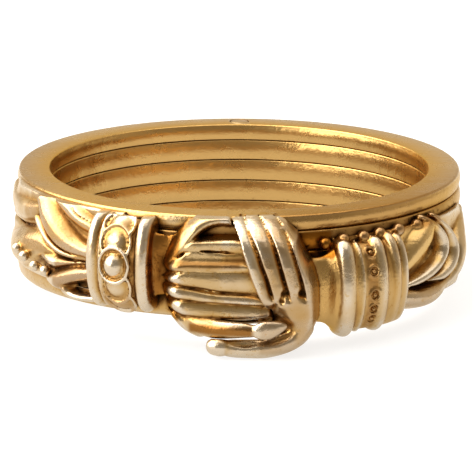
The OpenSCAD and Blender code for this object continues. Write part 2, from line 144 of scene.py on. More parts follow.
class Relief:
    """Heights over a flat sheet: u runs across, z up."""

    def __init__(self, u_from, u_to, z_from, z_to):
        self.u = np.arange(u_from, u_to + SHEET_STEP, SHEET_STEP)
        self.z = np.arange(z_from, z_to + SHEET_STEP, SHEET_STEP)
        self.U, self.Z = np.meshgrid(self.u, self.z, indexing="ij")
        self.h = np.full(self.U.shape, NOTHING)

    def inside(self, outline):
        """Distance to a closed outline, above 0 inside it."""
        p = curve(np.vstack([outline, outline[:1]]), 4)
        best = np.full(self.U.shape, 1e9)
        odd = np.zeros(self.U.shape, bool)
        for (ax, az), (bx, bz) in zip(p[:-1], p[1:]):
            dx, dz = bx - ax, bz - az
            size = dx * dx + dz * dz + 1e-12
            t = np.clip(((self.U - ax) * dx + (self.Z - az) * dz) / size, 0, 1)
            best = np.minimum(best, (self.U - ax - t * dx) ** 2 + (self.Z - az - t * dz) ** 2)
            if az != bz:
                cross = (az > self.Z) != (bz > self.Z)
                odd ^= cross & (self.U < ax + (self.Z - az) * dx / dz)
        return np.sqrt(best) * np.where(odd, 1, -1)

    def along(self, rows):
        """For a line of rows (u, z, half width, height): the place across it as a share of its
        half width, the half width and the height at the nearest point."""
        p = curve(rows)
        best = np.full(self.U.shape, 1e9)
        side, wide, high = (np.full(self.U.shape, v) for v in (9.0, 1.0, 0.0))
        for a, b in zip(p[:-1], p[1:]):
            dx, dz = b[0] - a[0], b[1] - a[1]
            size = math.hypot(dx, dz) + 1e-9
            reach = max(a[2], b[2]) * 1.5 + 0.3
            low, top = np.minimum(a, b) - reach, np.maximum(a, b) + reach
            part = tuple(slice(*np.searchsorted(axis, [low[i], top[i]]))
                         for i, axis in enumerate((self.u, self.z)))
            U, Z = self.U[part], self.Z[part]
            t = np.clip(((U - a[0]) * dx + (Z - a[1]) * dz) / size**2, 0, 1)
            eu, ez = U - a[0] - t * dx, Z - a[1] - t * dz
            far = np.hypot(eu, ez)
            near = far < best[part]
            turn = np.where(dx * ez - dz * eu >= 0, far, -far)
            for grid, value in ((best, far), (side, turn), (wide, a[2] + (b[2] - a[2]) * t),
                                (high, a[3] + (b[3] - a[3]) * t)):
                grid[part] = np.where(near, value, grid[part])
        wide = np.maximum(wide, 1e-6)
        return side / wide, wide, high

    def ridge(self, rows, steep, power):
        """A rounded ridge along rows."""
        q, wide, high = self.along(rows)
        lift = high - wide * steep * np.clip(np.abs(q), 0, 3) ** power
        self.h = np.where(np.abs(q) < 1.6, blend_max(self.h, lift, 0.05), self.h)

    def groove(self, rows):
        """A groove along rows, whose height column is its depth."""
        q, _, deep = self.along(rows)
        cut = deep * np.clip(1 - np.abs(q), 0, 1) ** 1.3
        self.h = np.where(self.h > NOTHING + 0.05, self.h - cut, self.h)

    def at(self, u, z):
        """Heights at broadcastable places."""
        iu = np.clip((u - self.u[0]) / SHEET_STEP, 0, len(self.u) - 1.001)
        iz = np.clip((z - self.z[0]) / SHEET_STEP, 0, len(self.z) - 1.001)
        a, b = iu.astype(int), iz.astype(int)
        fu, fz = (iu - a).astype(np.float32), (iz - b).astype(np.float32)
        h = self.h.astype(np.float32)
        return ((h[a, b] * (1 - fu) + h[a + 1, b] * fu) * (1 - fz)
                + (h[a, b + 1] * (1 - fu) + h[a + 1, b + 1] * fu) * fz)


# The whole of a block's grid
ALL = (slice(None),) * 3


class Block:
    """A block of the ring's frame with a distance field on a grid, below 0 inside."""

    def __init__(self, low, high):
        self.low = np.array(low, float)
        n = np.ceil((np.array(high) - self.low) / STEP).astype(int) + 1
        self.axes = [self.low[i] + STEP * np.arange(n[i]) for i in range(3)]
        self.f = np.full(n, FAR, np.float32)

    def window(self, low=None, high=None):
        """The grid between two corners, or all of it: its slices and its coordinates."""
        cut = ALL if low is None else tuple(slice(*np.searchsorted(a, [lo, hi]))
                                            for a, lo, hi in zip(self.axes, low, high))
        x, y, z = (a[s].astype(np.float32) for a, s in zip(self.axes, cut))
        return cut, x[:, None, None], y[None, :, None], z[None, None, :]

    def add(self, d, cut=ALL, k=0.0):
        self.f[cut] = blend_min(self.f[cut], np.clip(d, -FAR, FAR), k)

    def carve(self, d, cut=ALL, k=0.0):
        self.f[cut] = blend_max(self.f[cut], -np.clip(d, -FAR, FAR), k)

    def sweep(self, rows, k, carve=False, grow=0.0):
        """A body swept through rows of place, half width and half thickness, where the
        thickness lies away from the ring's axis."""
        p = curve(rows, 5)
        pad = p[:, 3:].max() + 0.3
        cut, X, Y, Z = self.window(p[:, :3].min(0) - pad, p[:, :3].max(0) + pad)
        d = np.full((X.size, Y.size, Z.size), FAR, np.float32)
        for a, b in zip(p[:-1], p[1:]):
            run = b[:3] - a[:3]
            size = np.linalg.norm(run) + 1e-9
            along = run / size
            out = np.array([a[0] + b[0], a[1] + b[1], 0])
            out /= np.linalg.norm(out) + 1e-9
            n = out - along * (out @ along)
            n /= np.linalg.norm(n) + 1e-9
            w = np.cross(along, n)
            reach = max(*a[3:], *b[3:]) + 0.3
            lo, hi = np.minimum(a[:3], b[:3]) - reach, np.maximum(a[:3], b[:3]) + reach
            sub = tuple(slice(*np.searchsorted(v.ravel(), [l, h]))
                        for v, l, h in zip((X, Y, Z), lo, hi))
            x, y, z = X[sub[0]] - a[0], Y[:, sub[1]] - a[1], Z[:, :, sub[2]] - a[2]
            t = np.clip((x * along[0] + y * along[1] + z * along[2]) / size, 0, 1)
            ex, ey, ez = x - t * run[0], y - t * run[1], z - t * run[2]
            wide = a[3] + (b[3] - a[3]) * t + grow
            thick = a[4] + (b[4] - a[4]) * t + grow
            end = np.minimum(wide, thick)
            eu, ev, ea = ((ex * v[0] + ey * v[1] + ez * v[2]) / half
                          for v, half in ((n, thick), (w, wide), (along, end)))
            k0 = np.sqrt(eu**2 + ev**2 + ea**2)
            k1 = np.sqrt((eu / thick) ** 2 + (ev / wide) ** 2 + (ea / end) ** 2) + 1e-6
            d[sub] = np.minimum(d[sub], np.where(k0 > 0.05, k0 * (k0 - 1) / k1, -end))
        (self.carve if carve else self.add)(d, cut, k)

    def disc(self, phi, centre_z, size, thick):
        """An oval disc with a round edge, square to an arm at one angle."""
        out, tan = directions(phi)
        c = np.array(on_hoop(phi, CUFF_R, centre_z))
        half = thick / 2
        cut, X, Y, Z = self.window(c - size[0] - 0.4, c + size[0] + 0.4)
        rho = oval(X * out[0] + Y * out[1], Z - centre_z, size[0] - half, size[1] - half)
        along = X * tan[0] + Y * tan[1]
        self.add(np.hypot(np.maximum(rho, 0), along) - half, cut, WELD)

    def ball(self, centre, r):
        c = np.array(centre)
        cut, X, Y, Z = self.window(c - r - 0.4, c + r + 0.4)
        d = np.sqrt((X - c[0]) ** 2 + (Y - c[1]) ** 2 + (Z - c[2]) ** 2) - r
        self.add(d, cut, WELD)

    def mesh(self, name):
        f = np.pad(self.f, 1, constant_values=FAR)
        grid = openvdb.FloatGrid(FAR)
        grid.copyFromArray(np.ascontiguousarray(f, dtype=np.float32))
        points, _, quads = grid.convertToPolygons(isovalue=0.0, adaptivity=0.0)
        return make_mesh(name, points * STEP + (self.low - STEP), quads)


def new_object(name, data):
    """An object in the scene."""
    obj = bpy.data.objects.new(name, data)
    bpy.context.scene.collection.objects.link(obj)
    return obj


def make_mesh(name, points, faces):
    """A mesh object in the ring's frame, in millimetres."""
    mesh = bpy.data.meshes.new(name)
    mesh.from_pydata(np.asarray(points, np.float32).tolist(), [], faces[:, ::-1].tolist())
    mesh.validate()
    return new_object(name, mesh)


def join(obj, other, operation="UNION"):
    """The object with another one joined to it or cut out of it."""
    modifier = obj.modifiers.new("join", "BOOLEAN")
    modifier.object, modifier.operation, modifier.solver = other, operation, "MANIFOLD"
    bpy.context.view_layer.update()
    graph = bpy.context.evaluated_depsgraph_get()
    mesh = bpy.data.meshes.new_from_object(obj.evaluated_get(graph))
    obj.modifiers.clear()
    old, obj.data = obj.data, mesh
    bpy.data.meshes.remove(old)
    bpy.data.objects.remove(other)
    return obj


# Turned pieces

HOOP_TURNS = 300
PIN_TURNS = 48
EDGE_STEPS = 7
CROWN_STEPS = 8
# Rounding and crown of the outer face, and of the inner one
OUTER_EDGE, OUTER_CROWN = 0.13, 0.05
INNER_EDGE, INNER_CROWN = 0.07, 0.055


def turned(name, profile, turns, centre=(0.0, 0.0)):
    """A closed profile of (radius, z) turned about an upright axis."""
    r, z = np.array(profile).T
    n = len(r)
    angle = 2 * math.pi * np.arange(turns)[:, None] / turns
    points = np.broadcast_arrays(centre[0] + r * np.cos(angle), centre[1] + r * np.sin(angle), z)
    i, j = np.meshgrid(np.arange(turns), np.arange(n), indexing="ij")
    i_next, j_next = (i + 1) % turns, (j + 1) % n
    faces = [i * n + j, i * n + j_next, i_next * n + j_next, i_next * n + j]
    return make_mesh(name, np.stack(points, -1).reshape(-1, 3), np.stack(faces, -1).reshape(-1, 4))


def hoop(name, k):
    """A hoop whose inner and outer faces are softly crowned and whose edges are round."""
    top, low = HOOP_TOP[k], HOOP_TOP[k] - HOOP_H[k]
    corners = [(OUTER_R, low, -90), (OUTER_R, top, 0), (BORE_R, top, 90), (BORE_R, low, 180)]
    profile = []
    for i, (r, z, start) in enumerate(corners):
        edge, crown, face = ((OUTER_EDGE, OUTER_CROWN, 1) if r == OUTER_R
                             else (INNER_EDGE, INNER_CROWN, -1))
        cr = r - (edge + crown) * face
        cz = z + edge * (1 if z == low else -1)
        for a in np.radians(np.linspace(start, start + 90, EDGE_STEPS)):
            profile.append((cr + edge * math.cos(a), cz + edge * math.sin(a)))
        if i in (0, 2):
            base = profile[-1]
            for t in np.linspace(0, 1, CROWN_STEPS + 1)[1:-1]:
                z_t = base[1] + face * t * (HOOP_H[k] - 2 * edge)
                profile.append((base[0] + face * crown * 4 * t * (1 - t), z_t))
    ring = turned(name, profile, HOOP_TURNS)
    pin = turned("hole", [(0.001, low - 1), (RIVET_HOLE_R, low - 1), (RIVET_HOLE_R, top + 1),
                          (0.001, top + 1)], PIN_TURNS, (0, PIVOT_Y))
    return join(ring, pin, "DIFFERENCE")


def rivet(name):
    edge, r = 0.05, RIVET_R
    profile = [(0.0005, -BAND_H), (r - edge, -BAND_H), (r, -BAND_H + edge), (r, -edge),
               (r - edge, 0.0), (r * 0.5, 0.0), (0.0005, 0.0)]
    return turned(name, profile, PIN_TURNS, (0, PIVOT_Y))


def line(points, at, axis=0):
    """The other coordinate of a smooth line through points, at every x, or z where axis is 1."""
    p = curve(points, 8)
    p = p[np.argsort(p[:, axis])]
    return np.interp(at, p[:, axis], p[:, 1 - axis])


# The left hand, as lines of x and z on its sheet

# Grooves between its fingers, from the hollow under the hood to the thumb
LEFT_GROOVES = hundredths([
    [(-310, -180), (-280, -139), (-256, -110), (-227, -94), (-188, -91), (-91, -86), (160, -85)],
    [(-340, -200), (-290, -181), (-256, -160), (-222, -149), (-178, -145), (-91, -146),
     (-4, -153), (160, -190)],
    [(-360, -270), (-338, -259), (-295, -249), (-237, -239), (-188, -243), (-91, -243),
     (6, -240), (160, -250)],
    [(-370, -310), (-324, -308), (-285, -312), (-237, -319), (-188, -325), (-140, -334),
     (-91, -340), (6, -347), (160, -358)],
    [(-360, -366), (-333, -368), (-285, -374), (-237, -378), (-188, -387), (-91, -395),
     (6, -402), (160, -410)],
    [(-350, -430), (-314, -444), (-261, -460), (-212, -467), (-115, -475), (6, -481),
     (112, -474), (175, -457)]])
# Each finger: height at its upper groove, crest and lower groove, the crest's place between
# them, and the x of its knuckle
LEFT_FINGERS = hundredths([
    (80, 122, 116, 45, -295), (130, 143, 136, 45, -350), (137, 144, 126, 40, -355),
    (124, 144, 134, 64, -360), (130, 140, 116, 62, -340)])
LEFT_OUTLINE = hundredths([
    (-145, 60), (-180, 45), (-220, 10), (-262, -42), (-310, -100), (-346, -176), (-362, -254),
    (-362, -328), (-350, -380), (-342, -420), (-328, -466), (-304, -500), (-268, -538),
    (-225, -564), (-188, -578), (-162, -574), (-135, -562), (-95, -550), (-40, -534), (30, -515),
    (100, -510), (175, -500), (175, -250), (175, -30), (40, 25)])
LEFT_HOOD = hundredths([
    (-334, -224, 15, 85), (-318, -184, 24, 104), (-290, -144, 31, 114), (-256, -100, 34, 114),
    (-218, -58, 34, 106), (-180, -30, 32, 94), (-138, -13, 29, 80), (-90, -7, 27, 68),
    (-40, -13, 25, 58), (20, -28, 22, 50)])
# Deeper cuts in the grooves: the slot between the first two fingers, then the others
LEFT_CUTS = hundredths([
    [(-190, -146, 3, 5), (-165, -145, 8, 34), (-90, -147, 8.5, 40), (-30, -153, 7, 30),
     (0, -156, 3, 5)],
    [(-310, -250, 5, 3), (-230, -240, 6, 7), (40, -240, 6, 7)],
    [(-320, -370, 5, 4), (-190, -387, 5, 8), (120, -406, 5, 8)],
    [(-260, -317, 10, 3), (-160, -332, 13, 12), (-80, -342, 11, 8), (60, -350, 9, 3)],
    [(-290, -450, 6, 8), (-110, -476, 7, 20), (6, -482, 8, 24), (120, -474, 7, 20)]])
# Height of the hand under the hood
LEFT_FLOOR = 0.12


def left_hand_relief():
    sheet = Relief(-4.3, 2.0, -6.0, 0.5)
    U, Z = sheet.U, sheet.Z
    lines = [line(g, U) for g in LEFT_GROOVES]
    h = np.full(U.shape, LEFT_FLOOR)
    for (upper, crest, lower, peak, knuckle), top, low in zip(LEFT_FINGERS, lines, lines[1:]):
        v = (top - Z) / np.maximum(top - low, 1e-3)
        rise = np.clip((peak - v) / peak, 0, 1)
        fall = np.clip((v - peak) / (1 - peak), 0, 1)
        body = np.where(v < peak, crest - (crest - upper) * rise**2.2,
                        crest - (crest - lower) * fall**2.2)
        # The knuckle is a round end.
        mid = (v - 0.5) * 2
        near = (U - knuckle - 0.22 * mid**2) / 0.7
        body = 0.3 + (body - 0.3) * dome(near)
        body += 0.06 * np.exp(-((near - 0.75) / 0.5) ** 2) * np.clip(1 - mid**2, 0, 1)
        h = np.where((v >= 0) & (v <= 1), np.maximum(body, LEFT_FLOOR), h)
    h = np.where(Z < lines[-1], 0.98 + 0.12 * ease((lines[-1] - Z) / 0.3), h)
    # The hollow under the hood
    sheet.h = np.where(Z > lines[0], LEFT_FLOOR + 0.5 * ease((U + 2.3) / -0.7), h)
    sheet.ridge(LEFT_HOOD, 1.25, 2.6)
    for rows in LEFT_CUTS:
        sheet.groove(rows)
    hood = ease((Z + 2.3) / 0.5)
    inside = sheet.inside(LEFT_OUTLINE)
    cap = 0.06 + (1.5 - 0.38 * hood) * dome(inside / (0.72 + 0.06 * hood))
    # It stays low under the right hand's fingertips.
    beyond = U + 0.45 + 0.63 * Z
    for u, soft, z, z_soft, most in ((0.2, 0.3, 0.95, 0.13, 0.84), (0.03, 0.09, 0.46, 0.12, -0.05)):
        tips = ease((beyond + u) / soft) * ease((Z + z) / z_soft)
        cap = cap + (np.minimum(cap, most) - cap) * tips
    sheet.h = np.where(inside > 0, blend_min(sheet.h, cap, 0.12), NOTHING)
    return sheet


LEFT_THUMB = hundredths([
    (-245, -466, 50, 60, 50), (-190, -496, 90, 52, 50), (-120, -512, 132, 48, 38),
    (-40, -511, 166, 42, 33), (20, -508, 183, 37, 28), (62, -510, 192, 31, 22)])
# Its last joint and nail, a flat oval pad
LEFT_NAIL = hundredths([
    (66, -512, 195, 16, 14), (86, -510, 202, 33, 22), (120, -507, 206, 45, 24),
    (160, -499, 206, 42, 24), (198, -490, 202, 28, 20), (222, -487, 198, 14, 10)])


def directions(phi):
    """The directions out of the ring and along its hoops, at an angle from the front."""
    p = math.radians(phi)
    return np.array([math.sin(p), -math.cos(p), 0.0]), np.array([math.cos(p), math.sin(p), 0.0])


def on_hoop(phi, r, z):
    p = math.radians(phi)
    return (r * math.sin(p), -r * math.cos(p), z)


def hand_rows(rows):
    """Rows of x, z, how far it stands out, half width and half thickness, as rows of a place."""
    return [(x, PIVOT_Y - math.sqrt((SWING_R + stand) ** 2 - x * x), z, *size)
            for x, z, stand, *size in rows]


# The right hand

# Grooves between its fingers and the left edge of the first one, as x and z
RIGHT_LINES = hundredths([
    [(-55, 20), (-43, 6), (-19, -32), (1, -75), (15, -132), (35, -197), (54, -256), (78, -316),
     (107, -374), (141, -416), (150, -440)],
    [(20, 20), (40, -26), (64, -77), (88, -130), (107, -185), (132, -250), (151, -315),
     (170, -385), (180, -420)],
    [(83, 24), (127, -25), (156, -73), (180, -136), (199, -201), (219, -271), (233, -321),
     (243, -361), (250, -400)],
    [(156, 24), (195, -13), (229, -64), (258, -132), (282, -203), (301, -273), (311, -323),
     (320, -380)],
    [(204, 25), (238, 2), (267, -37), (292, -95), (316, -148), (350, -211), (374, -277),
     (384, -352), (390, -420)]])
# Its outline follows the first and the last of them.
RIGHT_OUTLINE = [
    *hundredths([(-50, 35)]), *RIGHT_LINES[0][1:9],
    *hundredths([(138, -420), (150, -470), (135, -530), (100, -575), (90, -620), (130, -642),
                 (224, -629), (296, -593), (345, -545), (374, -498), (384, -449)]),
    *RIGHT_LINES[4][7:0:-1], *hundredths([(204, 30), (100, 40)])]
# Height of the fingers over their length
RIGHT_TOP = hundredths([
    (-650, 135), (-600, 162), (-530, 186), (-460, 205), (-380, 220), (-300, 226), (-200, 225),
    (-140, 214), (-100, 199), (-75, 185), (-55, 168), (-38, 145), (-22, 118), (-10, 92), (0, 66),
    (8, 38), (13, 0), (20, -60)])


def right_hand_relief():
    sheet = Relief(-1.1, 4.6, -6.9, 0.5)
    U, Z = sheet.U, sheet.Z
    edges = [line(points, sheet.z, axis=1)[None, :] for points in RIGHT_LINES]
    # The fingertips end a little lower towards both sides.
    shift = np.interp(U, [-0.5, -0.2, 0.2, 0.6, 1.6, 1.9, 2.24, 2.5, 2.8],
                      [0.12, 0.09, 0.03, 0.0, 0.0, 0.07, 0.24, 0.50, 0.90])
    end = Z + shift * ease((Z + 1.3) / 0.9)
    crown = np.interp(end, *zip(*RIGHT_TOP))
    h = crown.copy()
    deep = np.interp(sheet.z, [-3.75, -3.3, -0.9, -0.5, -0.35, -0.2, 0.0, 0.12],
                     [0.0, 0.26, 0.26, 0.29, 0.25, 0.29, 0.42, 0.3])[None, :]
    peak, flat = 0.16, 0.45
    for i, (a, b) in enumerate(zip(edges[:-1], edges[1:])):
        v = (U - a) / np.maximum(b - a, 1e-3)
        rise = np.clip((peak - v) / peak, 0, 1)
        fall = np.clip((v - flat) / (1 - flat), 0, 1)
        drop = np.where(v < peak, 0.7 * rise**1.6, 0.95 * fall**3.0 + 0.12 * fall)
        if i == 0:
            drop = np.where(v < peak, 0.4 * rise**2.4, drop)
        if i == 3:
            drop = np.where(v < peak, drop, 0.35 * fall**2)
        h = np.where((v >= 0) & (v <= 1), crown - deep * drop * 1.25, h)
    # Over the grip the fingers keep their thickness.
    over = (Z > -1.05) & (Z < -0.24)
    sheet.h = np.where(over, np.maximum(h, np.minimum(crown, 1.05)), h)
    # Pits at the ends of the grooves
    for x, z in [(2.04, -3.62), (2.14, -3.30), (2.96, -3.30), (1.72, -3.92)]:
        sheet.h = sheet.h - 0.22 * np.exp(-(np.hypot(U - x, (Z - z) / 1.4) / 0.12) ** 2)
    # The hollow at the root of the first finger, behind the left thumb's nail
    pit = np.hypot((U - 1.45) / 0.62, (Z + 4.42) / 0.42)
    sheet.h = sheet.h - 0.75 * np.exp(-pit**2)
    # The channel in which the left thumb lies
    nail = np.hypot((U - 1.2) / 1.25, (Z + 5.02) / 0.56)
    sheet.h = sheet.h - 0.9 * np.exp(-nail**4)
    inside = sheet.inside(RIGHT_OUTLINE)
    cap = 0.2 + 2.2 * dome(inside / 0.8)
    # The first finger's left side is steep.
    cap_left = 1.45 + 0.95 * dome((U - edges[0]) / 0.26)
    cap = np.where((U < edges[0] + 0.6) & (Z > -4.1), np.maximum(cap, cap_left), cap)
    sheet.h = np.where(inside > 0, blend_min(sheet.h, cap, 0.12), NOTHING)
    return sheet


RIGHT_THUMB = hundredths([
    (308, -512, 133, 50, 50), (277, -550, 136, 50, 50), (216, -582, 142, 50, 50),
    (127, -605, 142, 48, 48), (31, -607, 142, 46, 47), (-35, -605, 144, 43, 45),
    (-62, -602, 146, 37, 40), (-86, -597, 150, 47, 48), (-112, -596, 148, 43, 44)])
# Two shallow hollows along its upper side
RIGHT_THUMB_HOLLOWS = hundredths([
    [(-55, -556, 186, 10, 10), (-20, -562, 193, 26, 26), (35, -566, 195, 31, 31),
     (80, -564, 193, 24, 24)],
    [(104, -562, 195, 24, 24), (160, -554, 195, 31, 31), (220, -536, 193, 28, 28),
     (260, -518, 190, 14, 14)]])

# Collars: angle, share of the cuff's size, thickness and height above its middle
LEFT_COLLARS = [(-35.3, 1.0, 0.66, 0.0), (-33.0, 0.97, 0.16, 0.0), (-22.7, 1.0, 0.70, 0.0)]
RIGHT_COLLARS = [(25.9, 0.985, 0.98, 0.0), (29.4, 0.93, 0.13, 0.0), (34.7, 0.97, 0.74, 0.05),
                 (38.7, 0.94, 0.52, 0.20), (41.4, 0.84, 0.44, 0.30)]
# Half height and half depth of the arms, by angle
LEFT_ARM = hundredths([
    (-3800, 210, 110), (-3400, 208, 110), (-3100, 206, 108), (-2600, 206, 108),
    (-2400, 200, 102), (-2180, 170, 66), (-2030, 152, 40), (-1860, 148, 17), (-1680, 148, 13),
    (-1500, 160, 42), (-1200, 170, 60)])
RIGHT_ARM = hundredths([
    (1400, 170, 60), (1700, 160, 46), (1950, 158, 42), (2150, 168, 56), (2320, 195, 86),
    (2500, 210, 108), (2800, 212, 110), (3200, 212, 110), (3600, 212, 110), (4000, 205, 105),
    (4400, 195, 95)])
# The bosses' angle, the turn from one to the next, and their seat as a share of the cuff
BOSS_PHI = -28.9
BOSS_PITCH = 30
BOSS_SEAT = 0.88
# The cups' angle, their turns, and the half height and half depth of their seat
PUNCH_PHI = 32.2
PUNCH_TURNS = (54, 23.5, -7.8, -28, -45)
PUNCH_SEAT = (2.12, 1.1)


def arm(block, phi_from, phi_to, centre_z, profile, collars, cuff):
    """An arm that follows the hoops, with its collars."""
    cut, X, Y, Z = block.window()
    phi = np.degrees(np.arctan2(X, -Y))
    p = curve(profile)
    high, deep = (np.interp(phi, p[:, 0], p[:, i]).astype(np.float32) for i in (1, 2))
    d = oval(np.hypot(X, Y), Z - centre_z, high, deep)
    ends = overlap(phi_from - phi, phi - phi_to) * math.radians(1) * CUFF_R
    block.add(overlap(d, ends), cut)
    for phi, share, thick, shift in collars:
        block.disc(phi, centre_z + shift, [share * v for v in cuff], thick)


def face_of(block, phi, centre_z, turn, size, reach):
    """Distances from a point on an arm: out of it, along the hoops and across them."""
    t = math.radians(turn)
    away, tan = directions(phi)
    c = np.array(on_hoop(phi, CUFF_R + size[1] * math.cos(t), centre_z + size[0] * math.sin(t)))
    out = away * math.cos(t) / size[1] + np.array([0, 0, math.sin(t) / size[0]])
    out = out / np.linalg.norm(out)
    cut, X, Y, Z = block.window(c - reach, c + reach)
    x, y, z = X - c[0], Y - c[1], Z - c[2]
    return cut, *(x * v[0] + y * v[1] + z * v[2] for v in (out, tan, np.cross(out, tan)))


def ringed_boss(block, turn, r, dome_r, wire, rise, high):
    """A domed boss in an oval ring on the left cuff."""
    seat = [BOSS_SEAT * v for v in LEFT_CUFF]
    cut, up, a, b = face_of(block, BOSS_PHI, LEFT_Z, turn, seat, r + 0.5)
    flat = np.hypot(a / 0.94, b / 1.05)
    ring = np.hypot(flat - r, up - rise) - wire
    rim = np.hypot(flat - dome_r - 0.03, up - rise) - 0.045
    ball_r = (dome_r**2 + high**2) / (2 * high)
    ball = np.sqrt(flat**2 + (up + ball_r - high - rise) ** 2) - ball_r
    ball = overlap(ball, flat - dome_r)
    disc = overlap(flat - r, np.abs(up) - max(rise - 0.05, 0.02))
    # What lies under the boss doesn't show in its trough.
    block.carve(overlap(flat - r + 0.03, 0.02 - up), cut)
    block.add(np.minimum(np.minimum(ring, ball), np.minimum(rim, disc)), cut, WELD)


# Shoulders. A degree round them is this many millimetres on their sheets.
DEG = math.pi / 180 * 11.0
# Leaves: how steep their sides are and the power of their fall, then rows of the angle from the
# front in degrees, and z, half width and height in hundredths of a millimetre
LEFT_SHOULDER = [
    (0.7, 3.0, [(-52, -2, 14, 44), (-48, -30, 30, 58), (-44.5, -58, 36, 66), (-41, -86, 34, 68),
     (-38, -105, 28, 66)]),
    (0.8, 2.4, [(-58.5, -35, 40, 56), (-55.6, -75, 58, 80), (-53, -115, 68, 94),
     (-50.2, -152, 70, 100), (-47.2, -184, 62, 99), (-44, -207, 48, 92), (-40.5, -222, 36, 82),
     (-36.5, -228, 30, 70)]),
    (1.5, 2.4, [(-63, -100, 16, 35), (-59.5, -143, 20, 60), (-55.9, -190, 23, 72),
     (-52.6, -227, 25, 74), (-49.5, -250, 22, 70), (-45.9, -260, 17, 64), (-40.8, -262, 12, 55)]),
    (0.9, 2.0, [(-57, -302, 30, 48), (-53, -316, 36, 60), (-48.5, -306, 24, 58),
     (-44.5, -294, 14, 54), (-41.5, -284, 8, 44)]),
    (0.9, 2.4, [(-55, -405, 30, 50), (-51.5, -402, 46, 72), (-47.9, -378, 48, 78),
     (-44.2, -348, 40, 72), (-40, -330, 34, 62)]),
    (1.0, 2.2, [(-49.5, -395, 20, 55), (-48.3, -430, 24, 66), (-46.6, -455, 20, 55),
     (-43.5, -462, 16, 50), (-39, -455, 14, 45)]),
    (0.7, 2.4, [(-86, -85, 50, 20), (-78, -115, 62, 42), (-70, -120, 66, 60),
     (-62.5, -100, 52, 56), (-57, -60, 26, 40)]),
    (0.6, 2.6, [(-88, -320, 60, 22), (-80, -330, 80, 46), (-72, -315, 95, 76),
     (-65, -285, 95, 76), (-59, -260, 75, 62), (-54, -270, 40, 40)])]
# Grooves between the leaves, in the same way, with a depth for the height
LEFT_LINES = [
    [(-60, -85, 5, 6), (-57.2, -132, 8, 16), (-54, -186, 10, 22), (-50, -224, 10, 24),
     (-45.6, -244, 8, 20), (-40.5, -248, 6, 14)],
    [(-58, -220, 5, 10), (-55.5, -245, 7, 16), (-52.4, -272, 7, 16), (-48.6, -284, 6, 14),
     (-41, -276, 5, 10)],
    [(-57.4, -358, 5, 10), (-53.9, -356, 7, 14), (-49.9, -333, 7, 14), (-46.2, -310, 6, 14),
     (-42, -290, 5, 10)],
    [(-50, 0, 5, 6), (-46.2, -20, 6, 16), (-43.4, -50, 7, 18), (-40.1, -72, 7, 18),
     (-37.8, -85, 5, 10)],
    [(-61, -362, 10, 12), (-57.5, -386, 14, 26), (-54.5, -385, 10, 20)],
    [(-47.2, -412, 10, 20), (-44.5, -402, 18, 46), (-42, -398, 20, 50), (-40, -398, 12, 30)],
    [(-88, -200, 16, 10), (-76, -205, 18, 22), (-68, -195, 14, 22), (-61, -170, 8, 12)]]
# Beads: angle, z and how far they stand out
LEFT_BEADS = hundredths([
    (-5950, -360, 42), (-6330, -325, 60), (-6700, -302, 62), (-5600, -372, 26)])

RIGHT_SHOULDER = [
    (0.75, 2.6, [(44, -330, 26, 60), (46.5, -280, 50, 80), (49.5, -225, 64, 92),
     (52.4, -178, 56, 90), (54.6, -142, 36, 74)]),
    (1.1, 2.6, [(52.8, -95, 12, 42), (56.6, -145, 20, 74), (59.2, -216, 25, 94),
     (58.9, -280, 27, 100), (55.8, -336, 28, 98), (51.2, -374, 25, 90), (46, -400, 20, 72)]),
    (1.0, 2.4, [(57.5, -100, 10, 44), (62, -180, 20, 78), (64.2, -270, 28, 102),
     (62.4, -345, 30, 108), (58.2, -390, 26, 98), (53.5, -405, 14, 70)]),
    (0.9, 2.4, [(80, -170, 55, 24), (74, -230, 70, 62), (69.5, -300, 62, 96), (67, -375, 46, 98),
     (63.5, -425, 30, 86), (60, -445, 20, 76)]),
    (0.9, 2.6, [(43, -450, 36, 70), (47.5, -466, 44, 94), (52.3, -474, 46, 102),
     (56.5, -462, 40, 94), (60.5, -442, 24, 74)])]
RIGHT_LEAF_LINES = [
    [(46, -408, 8, 10), (49, -420, 15, 46), (52.5, -416, 15, 50), (56.5, -414, 10, 30),
     (60, -416, 6, 16)],
    [(55.6, -90, 5, 6), (59.6, -160, 6, 18), (61.9, -240, 7, 22), (61, -305, 7, 22),
     (57.4, -362, 7, 20), (51.9, -394, 6, 12)],
    [(66, -220, 5, 6), (67.2, -290, 8, 20), (65.2, -360, 8, 24), (61, -412, 7, 20)]]
RIGHT_BEADS = hundredths([
    (2210, -130, 20), (2700, -119, 22), (3280, -117, 22), (3770, -113, 22), (4400, -112, 22),
    (5090, -115, 20), (5940, -123, 15)])
BEAD_R = 0.30
# The lowest corner of the right hand's blocks, and a height beyond all of them
RIGHT_LOW = (-1.9, -13.6, -6.9)
FAR_OFF = 9


def shoulder(side, ends, middle, half, leaves, lines):
    """A thin plate with a rounded end, its leaves and the grooves between them. side is -1 for
    the left one and 1 for the right one, and ends are its two angles and its lowest z."""
    sheet = Relief(ends[0] * DEG, ends[1] * DEG, ends[2], 0.4)
    u = sheet.U / DEG * side
    across = (sheet.Z - middle) / half
    end = 90 - 9 * across**2
    plate = 0.26 * ease((end - u) / 10)
    sheet.h = np.where((np.abs(across) < 1) & (u < end), plate, NOTHING)
    for steep, power, rows in leaves:
        sheet.ridge([(phi * DEG, *hundredths(row)) for phi, *row in rows], steep, power)
    for rows in lines:
        sheet.groove([(phi * DEG, *hundredths(row)) for phi, *row in rows])
    return sheet


